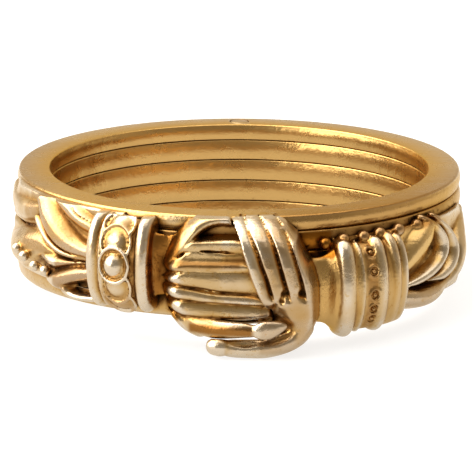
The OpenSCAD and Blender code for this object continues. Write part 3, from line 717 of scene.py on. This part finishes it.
def lift_round(block, sheet):
    """Raises a sheet over the hoops' outer wall."""
    cut, X, Y, Z = block.window()
    u = np.arctan2(X, -Y) * (180 / math.pi) * DEG
    s = sheet.at(u, Z)
    out = (u < sheet.u[0]) | (u > sheet.u[-1]) | (Z < sheet.z[0]) | (Z > sheet.z[-1])
    d = np.hypot(X, Y) - OUTER_R - s
    block.add(np.where(out | (s < BARE), FAR, d), cut, WELD)


def lift_hand(block, sheet, k):
    """Raises a sheet over the circle about the rivet."""
    low, high = (sheet.u[0], -14.0, sheet.z[0]), (sheet.u[-1], -8.0, sheet.z[-1])
    cut, X, Y, Z = block.window(low, high)
    s = sheet.at(X, Z)
    stand = np.hypot(X, Y - PIVOT_Y) - SWING_R
    block.add(np.where(s < BARE, FAR, stand - s), cut, k)


def clear(block, centre_y, r, z_from=-FAR_OFF, z_to=FAR_OFF, side=0, k=0.0):
    """Clears an upright cylinder between two heights, on one side of the ring's middle, or on
    both where side is 0."""
    cut, X, Y, Z = block.window()
    d = overlap(np.hypot(X, Y - centre_y) - r, z_from - Z, Z - z_to)
    block.carve(overlap(d, -X * side) if side else d, cut, k)


def left_mass():
    """The left shoulder, cuff and hand."""
    block = Block((-11.9, -13.2, -6.0), (2.3, 0.8, 0.35))
    arm(block, -35.5, -13, LEFT_Z, LEFT_ARM, LEFT_COLLARS, LEFT_CUFF)
    for n in (-2, 2, -1, 1):
        ringed_boss(block, n * BOSS_PITCH, 0.84, 0.62, 0.085, 0.03, 0.24)
    ringed_boss(block, 0, 0.82, 0.54, 0.09, 0.11, 0.44)
    sheet = shoulder(-1, (-95, -30, -5.2), -2.15, 2.05, LEFT_SHOULDER, LEFT_LINES)
    sheet.h = np.where((sheet.Z > -4.75) & (sheet.Z < 0.0), sheet.h, NOTHING)
    lift_round(block, sheet)
    for phi, z, stand in LEFT_BEADS:
        block.ball(on_hoop(phi, OUTER_R + 0.26 + stand, z), BEAD_R * 0.9)
    lift_hand(block, left_hand_relief(), 0.06)
    block.sweep(hand_rows(LEFT_THUMB), 0.08)
    block.sweep(hand_rows(LEFT_NAIL), 0.02)
    # What stays clear of the other hoops as they turn
    under = 0.02 - HOOP_H[0]
    clear(block, 0.0, SLIDE_R, z_to=under, k=0.02)
    clear(block, PIVOT_Y, SWING_R + RUN_GAP, -FAR_OFF, under, 1, 0.02)
    cut, X, Y, Z = block.window()
    edge = np.interp(X, [-3.0, -2.37, -1.88, -1.4, -0.9, -0.45],
                     [12.0, 11.55, 10.2, 9.5, 9.2, 9.14]).astype(np.float32)
    r = np.hypot(X, Y)
    block.carve(overlap(r - np.where(Z > -0.08, edge, 10.4), -Z - 0.70), cut, 0.02)
    block.carve(0.045 - Z, cut, 0.05)
    clear(block, 0.0, BORE_R + 0.04)
    # The right hand's fingers lie over the rim beyond this line.
    block.carve(overlap(-0.47 - X - 0.63 * Z, r - 11.9, -Z), cut)
    return block


def right_hand():
    """The right hand in its own block."""
    hand = Block(RIGHT_LOW, (4.9, -7.5, 0.4))
    lift_hand(hand, right_hand_relief(), 0.0)
    hand.sweep(hand_rows(RIGHT_THUMB), 0.12)
    for rows in RIGHT_THUMB_HOLLOWS:
        hand.sweep(hand_rows(rows), 0.08, carve=True)
    # The grip round the left hand
    cut, X, Y, Z = hand.window()
    reach = np.hypot(X, Y - PIVOT_Y)
    grip = np.minimum(overlap(reach - GRIP_R, -5.68 - Z, Z + 0.80),
                      overlap(reach - SWING_R - 0.90, -1.0 - Z, Z + 0.30))
    hand.carve(overlap(grip, X - 1.63), cut, 0.02)
    # The fingertips lie over the rim as a thin flange.
    edge = np.interp(X, [-0.5, 1.2, 1.61, 2.24, 2.53, 3.2],
                     [9.55, 9.5, 10.06, 11.2, 11.97, 12.6]).astype(np.float32)
    hand.carve(overlap(np.hypot(X, Y) - edge, -Z), cut, 0.03)
    hand.carve(0.14 - Z, cut, 0.06)
    for rows in (LEFT_THUMB, LEFT_NAIL):
        hand.sweep(hand_rows(rows), 0.02, carve=True, grow=0.05)
    return hand


def right_mass():
    """The right shoulder, cuff and hand."""
    block = Block(RIGHT_LOW, (12.0, 0.8, 0.4))
    arm(block, 16, 42, RIGHT_Z, RIGHT_ARM, RIGHT_COLLARS, RIGHT_CUFF)
    for turn in PUNCH_TURNS:
        punch(block, turn)
    lift_round(block, shoulder(1, (36, 95, -6.2), -3.07, 1.9, RIGHT_SHOULDER, RIGHT_LEAF_LINES))
    lift_back_wall(block)
    for phi, z, stand in RIGHT_BEADS:
        block.ball(on_hoop(phi, OUTER_R + stand + 0.02, z - 0.12), BEAD_R * 1.05)
    hand = right_hand()
    part = tuple(slice(*np.searchsorted(a, [b[0] - 1e-6, b[-1] + 1e-6]))
                 for a, b in zip(block.axes, hand.axes))
    n = [s.stop - s.start for s in part]
    block.add(hand.f[:n[0], :n[1], :n[2]], part, 0.06)
    # What stays clear of the other hoops as they turn
    seat = HOOP_TOP[4]
    clear(block, 0.0, SLIDE_R, seat - 0.02, RUN_GAP, k=0.02)
    clear(block, PIVOT_Y, SWING_R + RUN_GAP, seat - 0.02, RUN_GAP, -1, 0.02)
    clear(block, 0.0, 10.4, -BAND_H + 0.1, seat - 0.05)
    clear(block, 0.0, BORE_R + 0.04)
    clear(block, 0.0, BORE_R + 0.9, z_to=-BAND_H + 0.12)
    return block


def lift_back_wall(block):
    """The wall behind the right cuff, which carries its beads."""
    cut, X, Y, Z = block.window()
    phi = np.degrees(np.arctan2(X, -Y))
    d = np.hypot(X, Y) - OUTER_R - 0.12 * ease((phi - 22) / 5)
    ends = overlap(24 - phi, phi - 60) * 0.19
    block.add(overlap(d, Z + 1.17, -4.9 - Z, ends), cut)


def punch(block, turn):
    """A punched ring with a bead left in it, on the right cuff."""
    cut, up, a, b = face_of(block, PUNCH_PHI, RIGHT_Z, turn, PUNCH_SEAT, 0.6)
    flat = np.hypot(a, b)
    block.carve(np.hypot((flat - 0.13) * 0.8, up) - 0.08, cut, 0.03)
    block.add(np.hypot(flat - 0.28, up) - 0.068, cut, 0.02)
    block.add(np.hypot(flat, up + 0.02) - 0.12, cut, 0.02)


def box_blur(a, n):
    """The mean of the 2 n + 1 cells round each one along every axis."""
    size = 2 * n + 1
    for _ in range(3):
        total = np.pad(a, ((n + 1, n), (0, 0), (0, 0)), mode="edge")
        total = np.cumsum(total, axis=0, dtype=np.float64)
        a = np.moveaxis(((total[size:] - total[:-size]) / size).astype(np.float32), 0, -1)
    return a


class Crowding:
    """How deep in a hollow a point of the surface lies: the share of its neighbourhood that is
    metal, on the closed ring."""

    low, high, step = np.array([-13.0, -14.0, -7.4]), (13.0, 12.2, 1.0), 0.11

    def __init__(self, blocks):
        axes = [np.arange(lo, hi, self.step) for lo, hi in zip(self.low, self.high)]
        X, Y, Z = np.meshgrid(*axes, indexing="ij", sparse=True)
        r = np.hypot(X, Y)
        wall = overlap(BORE_R - r, r - OUTER_R, Z, -BAND_H - Z)
        full = np.clip(0.5 - wall / self.step, 0, 1).astype(np.float32)
        for block in blocks:
            inside = [np.flatnonzero((a >= b[0]) & (a <= b[-1])) for a, b in zip(axes, block.axes)]
            index = [np.round((a[i] - lo) / STEP).astype(int)
                     for a, i, lo in zip(axes, inside, block.low)]
            place = np.ix_(*inside)
            part = np.clip(0.5 - block.f[np.ix_(*index)] / self.step, 0, 1)
            full[place] = np.maximum(full[place], part)
        self.levels = [box_blur(box_blur(full, n), n) for n in (1, 3)]

    def at(self, points, level):
        """The share round each point, close by at level 0 and farther round it at level 1."""
        grid = self.levels[level]
        p = np.clip((points - self.low) / self.step, 0, np.array(grid.shape) - 1.001)
        i = p.astype(int)
        f = p - i
        out = 0.0
        for corner in np.ndindex(2, 2, 2):
            x, y, z = (np.where(c, f[:, n], 1 - f[:, n]) for n, c in enumerate(corner))
            out = out + x * y * z * grid[tuple((i + corner).T)]
        return out


# Where a painted amber reflection and a painted shade lie on the gold. From and to, as angle, z and
# radius, then how amber, how shaded
PAINTED_LIGHT_ZONES = [
    (-21.6, -13, -5, 0.1, 10.73, 12.1, 1, 0.62),
    (-15.5, 1, -2.35, -1.75, 11.8, 13, 0.35, 0.50),
    (-33.4, -24.8, -5.2, -0.2, 11.2, 12.2, 0.4, 0.32),
    (4, 20, -6.4, 0.3, 11.2, 14, 0.1, 0.20),
    (-52, -36.3, -4.5, -2.7, 10.9, 13, 0.1, 0.40),
    (-66, -36.3, -3, 0.2, 10.9, 13, 0.2, 0.27),
    (44, 58, -6.2, -4.2, 10.9, 13, 0.1, 0.18),
    (-12, 3.6, -5.5, -4.75, 11.8, 13.5, 0.6, 0.64),
    (13, 24.4, -6.2, -1.5, 10.73, 12.2, 1, 0.20),
    (13, 25, -2.2, -0.7, 9.8, 11.7, 0.6, 0.72),
    (44, 57.5, -3.3, -0.9, 10.73, 13, 0.8, 0),
    (-52, -38, -2, -0.6, 10.73, 13, 0.6, 0.22),
    (29.6, 33.8, -6.2, -0.8, 10.73, 13, 0.5, 0.45),
    (24, 60, -1.5, -0.7, 10.73, 11.5, 0.4, 0.50),
    (36, 42, -6.2, -0.8, 10.73, 13, 0.3, 0.10),
    (-12, 3, -1.1, -0.3, 10.73, 11.8, 0.7, 0.35)]


def painted_reflection_and_shade(x, y, z, r, phi):
    """The painted amber reflection and painted shade on the gold: in the bore, in the places above,
    along the front of the rim and on the band below it."""
    # The bore takes a painted amber reflection and a little painted shade.
    amber_reflection = ease((9.32 - r) / 0.12)
    painted_shade = 0.16 * amber_reflection
    for p0, p1, z0, z1, r0, r1, most, shading in PAINTED_LIGHT_ZONES:
        part = between(phi, p0, p1, 1.2) * between(z, z0, z1, 0.25) * between(r, r0, r1, 0.05, 0.2)
        amber_reflection = np.maximum(amber_reflection, part * most)
        painted_shade = np.maximum(painted_shade, part * shading)
    front = ease((5 - y) / 13)
    top = ease((z + 0.16) / 0.1) * ease((10.75 - r) / 0.05)
    rim = top * front * (1 - 0.7 * ease((np.abs(x) - 7.0) / 3.5))
    right = top * ease((x + 1) / 4) * front + top * 0.5 * ease((-8.5 - x) / 1.5)
    band = between(r, 10.5, 10.75, 0.1, 0.05) * ease((-0.04 - z) / 0.1) * front
    band = band * (0.12 + 0.88 * ease((x + 2) / 6)) * (0.4 + 0.6 * ease((z + 3.6) / 1.0))
    return overlap(amber_reflection, rim * 0.75, band * 0.9), overlap(painted_shade, right * 0.46, rim * 0.12, band * 0.3)


def kept_patina_and_shade(z, r, phi):
    """The share of the patina and painted shade that stays: little where the gold is polished or
    rubbed.
    """
    # The flat top of the rim
    stays = 1 - ease((z + 0.07) / 0.04) * ease((10.80 - r) / 0.04)
    # The crest of the hood
    hood = ease((r - 11.2) / 0.2) * ease((phi + 19.5) / 1.0) * ease((-3.0 - phi) / 2.0)
    stays = stays * (1 - 0.8 * hood * ease((z + 2.2 + 0.16 * (phi + 17)) / 0.3))
    # The punched cups
    cups = ease((r - 11.6) / 0.1) * ease((2.2 - np.abs(phi - PUNCH_PHI)) / 0.3)
    stays = stays * (1 - 0.45 * cups)
    # The bore, and the faces where the hoops rub
    return stays * (1 - 0.55 * ease((9.6 - r) / 0.1)) * (1 - 0.75 * between(r, 9.18, 10.66, 0.04))


def dress(obj, node, body, material, crowding):
    """Marks the hollows and the painted reflection and shade, moves the piece to its place and ties
    it to its body.
    """
    mesh = obj.data
    co = np.empty(len(mesh.vertices) * 3, np.float32)
    mesh.vertices.foreach_get("co", co)
    co = co.reshape(-1, 3)
    x, y, z = co.T
    r, phi = np.hypot(x, y), np.degrees(np.arctan2(x, -y))
    amber_reflection, painted_shade = painted_reflection_and_shade(x, y, z, r, phi)
    stays = kept_patina_and_shade(z, r, phi)
    # The two crowding marks darken the gold as patina and painted shade; the other two carry a
    # painted amber reflection and painted shade.
    for name, value in (("crevice", (2 * crowding.at(co, 0) - 1) * stays),
                        ("hollow", (2 * crowding.at(co, 1) - 1) * stays),
                        ("amber_reflection", amber_reflection), ("painted_shade", painted_shade)):
        mark = mesh.attributes.new(name, "FLOAT", "POINT")
        mark.data.foreach_set("value", value.astype(np.float32))
    mesh.transform(TO_WORLD)
    mesh.polygons.foreach_set("use_smooth", [True] * len(mesh.polygons))
    mesh.set_sharp_from_angle(angle=math.radians(50))
    mesh.materials.clear()
    mesh.materials.append(material)
    mesh.update()
    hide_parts(node)
    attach(obj, body)


# Materials

class Nodes:
    """The node tree of a material or a world, built anew."""

    def __init__(self, owner):
        owner.use_nodes = True
        self.tree = owner.node_tree
        self.tree.nodes.clear()

    def new(self, kind, inputs, output=0, **values):
        """A node's output. Each input is a value or another node's output."""
        node = self.tree.nodes.new("ShaderNode" + kind)
        for key, value in values.items():
            setattr(node, key, value)
        for key, value in inputs.items():
            if isinstance(value, bpy.types.NodeSocket):
                self.tree.links.new(value, node.inputs[key])
            else:
                node.inputs[key].default_value = value
        return node.outputs[output] if node.outputs else node

    def calc(self, operation, a, b, clamp=False):
        return self.new("Math", {0: a, 1: b}, operation=operation, use_clamp=clamp)

    def add(self, a, b):
        return self.calc("ADD", a, b)

    def times(self, a, b, clamp=False):
        return self.calc("MULTIPLY", a, b, clamp)

    def mark(self, name):
        """A value that dress() leaves on the mesh."""
        return self.new("Attribute", {}, "Fac", attribute_name=name)

    def mix(self, factor, a, b, blend="MIX"):
        return self.new("Mix", {0: factor, 6: a, 7: b}, 2, data_type="RGBA", blend_type=blend)

    def smooth(self, value, low, high, to_low=0.0, to_high=1.0):
        return self.new("MapRange", {"Value": value, "From Min": low, "From Max": high,
                                     "To Min": to_low, "To Max": to_high},
                        interpolation_type="SMOOTHSTEP")

    def noise(self, place, scale, detail=2.0):
        return self.new("TexNoise", {"Vector": place, "Scale": scale, "Detail": detail}, "Fac")

    def bump(self, height, strength, distance, under=None):
        inputs = {"Height": height, "Strength": strength, "Distance": distance}
        return self.new("Bump", inputs | ({"Normal": under} if under else {}))

    def ramp(self, value, stops):
        """A colour ramp with stops of place and colour, the first and last of them at its ends."""
        output = self.new("ValToRGB", {0: value})
        marks = output.node.color_ramp.elements
        marks[0].color, marks[1].color = (*stops[0][1], 1), (*stops[-1][1], 1)
        for place, colour in stops[1:-1]:
            marks.new(place).color = (*colour, 1)
        return output


def gold(name, tones, reflected_amber, rough):
    """Worn gold: bright on the edges, browned in the hollows by patina and painted shade, with a
    painted amber reflection and painted shade in places.
    """
    material = bpy.data.materials.new(name)
    nodes = Nodes(material)
    add, times = nodes.add, nodes.times
    coords = nodes.new("TexCoord", {}, "Object")
    stretched = nodes.new("Mapping", {"Vector": coords, "Rotation": (0.2, 0.3, 0.4),
                                      "Scale": (0.15, 2.2, 1.0)})
    cloud = nodes.noise(coords, 900.0, 4.0)
    grain = nodes.noise(coords, 8000.0, 3.0)
    scratch = nodes.noise(stretched, 2600.0)
    specks = nodes.smooth(nodes.noise(coords, 5200.0), 0.58, 0.72)

    # How dark: patina and painted shade, deeper in the hollows, with clouds and specks
    depth = add(times(nodes.mark("crevice"), 1.15), times(nodes.mark("hollow"), 1.3))
    depth = add(depth, times(nodes.calc("SUBTRACT", cloud, 0.5), 0.35))
    depth = add(depth, times(specks, 0.30))
    patina_and_shade = nodes.smooth(depth, 0.18, 1.15)

    # Painted amber reflection: these places are mixed towards the amber colour.
    amber_reflection = nodes.mark("amber_reflection")
    tone = nodes.ramp(times(add(depth, 0.55), 0.62),
                      list(zip((0.0, 0.12, 0.34, 0.52, 0.74, 1.0), tones)))
    colour = nodes.mix(times(amber_reflection, nodes.calc("SUBTRACT", 1.0, patina_and_shade)), tone, (*reflected_amber, 1))
    # Painted shade: these places are browned.
    shade_brown = nodes.mix(times(nodes.mark("painted_shade"), 1.45, True), (1, 1, 1, 1), (0.40, 0.22, 0.06, 1))
    shaded_colour = nodes.new("VectorMath", {0: colour, 1: shade_brown}, operation="MULTIPLY")
    roughness = add(add(times(cloud, 0.10), times(patina_and_shade, 0.30)), rough)
    soft = nodes.bump(cloud, 0.40, 0.00012)
    worn = nodes.bump(add(times(grain, 0.5), times(scratch, 0.5)), 0.40, 0.00005, soft)
    edge = nodes.mix(amber_reflection, (1.0, 0.96, 0.88, 1), (0.93, 0.76, 0.45, 1))
    shader = nodes.new("BsdfPrincipled", {"Metallic": 1.0, "Base Color": shaded_colour,
                                          "Roughness": roughness, "Specular Tint": edge,
                                          "Normal": worn})
    nodes.new("OutputMaterial", {"Surface": shader})
    return material


# The gold, from its bright edges to its hollows darkened by patina and painted shade
TONES = [(0.55, 0.45, 0.325), (0.51, 0.38, 0.23), (0.46, 0.31, 0.14), (0.40, 0.23, 0.07),
         (0.20, 0.09, 0.022), (0.05, 0.022, 0.006)]


def build_pieces():
    left, right = left_mass(), right_mass()
    crowding = Crowding((left, right))
    ring_gold = gold("worn_gold_painted_shade", TONES, (0.58, 0.37, 0.13), 0.23)
    pin_gold = gold("rivet_gold", [[0.9 * v for v in t] for t in TONES], (0.7, 0.5, 0.26), 0.24)
    left_hoop = join(hoop("left_hand_ring", 0), left.mesh("left_hand_mass"))
    right_hoop = join(hoop("right_hand_ring", 4), right.mesh("right_hand_mass"))
    dress(left_hoop, "left_hand_hoop", "root", ring_gold, crowding)
    for k, body in enumerate(("upper_middle", "centre_middle", "lower_middle"), 1):
        dress(hoop(body + "_ring", k), body + "_hoop", body, ring_gold, crowding)
    dress(right_hoop, "right_hand_hoop", "right_hand", ring_gold, crowding)
    dress(rivet("rivet_pin"), "pivot_rivet", "root", pin_gold, crowding)


# The floor, the light and the camera

FLOOR_HALF = 0.6


def build_floor():
    low = min(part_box(n)[0][2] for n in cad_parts)
    mesh = bpy.data.meshes.new("floor")
    h = FLOOR_HALF
    mesh.from_pydata([(-h, -h, low), (h, -h, low), (h, h, low), (-h, h, low)], [], [(0, 1, 2, 3)])
    floor = new_object("floor", mesh)
    material = bpy.data.materials.new("white_paper")
    nodes = Nodes(material)
    paper = nodes.new("TexNoise", {"Scale": 2200.0}, "Fac")
    shader = nodes.new("BsdfPrincipled", {
        "Base Color": (0.24, 0.239, 0.237, 1), "Roughness": 0.9, "Specular IOR Level": 0.1,
        "Emission Color": (1.0, 0.995, 0.985, 1), "Emission Strength": 0.80,
        "Normal": nodes.bump(paper, 0.02, 0.00005)})
    nodes.new("OutputMaterial", {"Surface": shader})
    mesh.materials.append(material)


def build_world():
    """A studio: bright behind, darker towards the camera and overhead."""
    world = bpy.data.worlds.new("studio")
    bpy.context.scene.world = world
    nodes = Nodes(world)
    coords = nodes.new("TexCoord", {}, "Generated")
    height, depth = (nodes.new("SeparateXYZ", {0: coords}, axis) for axis in "ZY")
    greys = [(place, (v, v * 0.90, v * 0.74))
             for place, v in ((0.06, 0.38), (0.14, 0.72), (0.45, 0.62), (0.75, 0.50))]
    up = nodes.ramp(height, [(0.0, (0.40, 0.35, 0.27)), *greys, (1.0, (0.62, 0.54, 0.42))])
    behind = nodes.smooth(depth, -0.9, 0.5, 0.58, 1.5)
    shade = nodes.mix(1.0, up, behind, "MULTIPLY")
    background = nodes.new("Background", {"Color": shade, "Strength": 1.0})
    nodes.new("OutputWorld", {"Surface": background})


def softbox(name, azimuth, elevation, distance, width, height, glow):
    """A soft light that faces the ring, at an azimuth from the camera towards its left."""
    a, e = math.radians(azimuth), math.radians(elevation)
    place = Vector((-math.sin(a) * math.cos(e), -math.cos(a) * math.cos(e), math.sin(e)))
    place *= distance
    light = bpy.data.lights.new(name, "AREA")
    light.shape, light.size, light.size_y = "RECTANGLE", width, height
    light.energy = glow * math.pi * width * height
    obj = new_object(name, light)
    obj.location = place
    obj.rotation_euler = (-place).to_track_quat("-Z", "Y").to_euler()


def build_camera():
    """The camera, in front of the ring and a little above it."""
    elevation, roll, distance = math.radians(17.28), math.radians(0.238), 0.551
    toward = Vector((0, -math.cos(elevation), math.sin(elevation)))
    right = Vector((1, 0, 0))
    up = toward.cross(right)
    aim = right * (-0.0887 * MM) + up * (-0.995 * MM)
    turned_right = right * math.cos(roll) + up * math.sin(roll)
    turned_up = up * math.cos(roll) - right * math.sin(roll)
    data = bpy.data.cameras.new("camera")
    data.sensor_width, data.lens = 36.0, 864.5
    data.clip_start, data.clip_end = 0.05, 10.0
    camera = new_object("camera", data)
    axes = Matrix((turned_right, turned_up, toward)).transposed().to_4x4()
    camera.matrix_world = Matrix.Translation(aim + toward * distance) @ axes
    bpy.context.scene.camera = camera


build_camera()
build_floor()
build_world()
softbox("left_softbox", 60, 28, 0.45, 0.36, 0.38, 4.8)
softbox("side_softbox", 104, 31, 0.45, 0.36, 0.40, 4.6)
softbox("upper_softbox", 123, 62, 0.45, 0.46, 0.30, 3.8)
softbox("top_softbox", 180, 84, 0.6, 0.80, 0.80, 1.5)
build_pieces()
bpy.context.scene.view_settings.view_transform = "Standard"
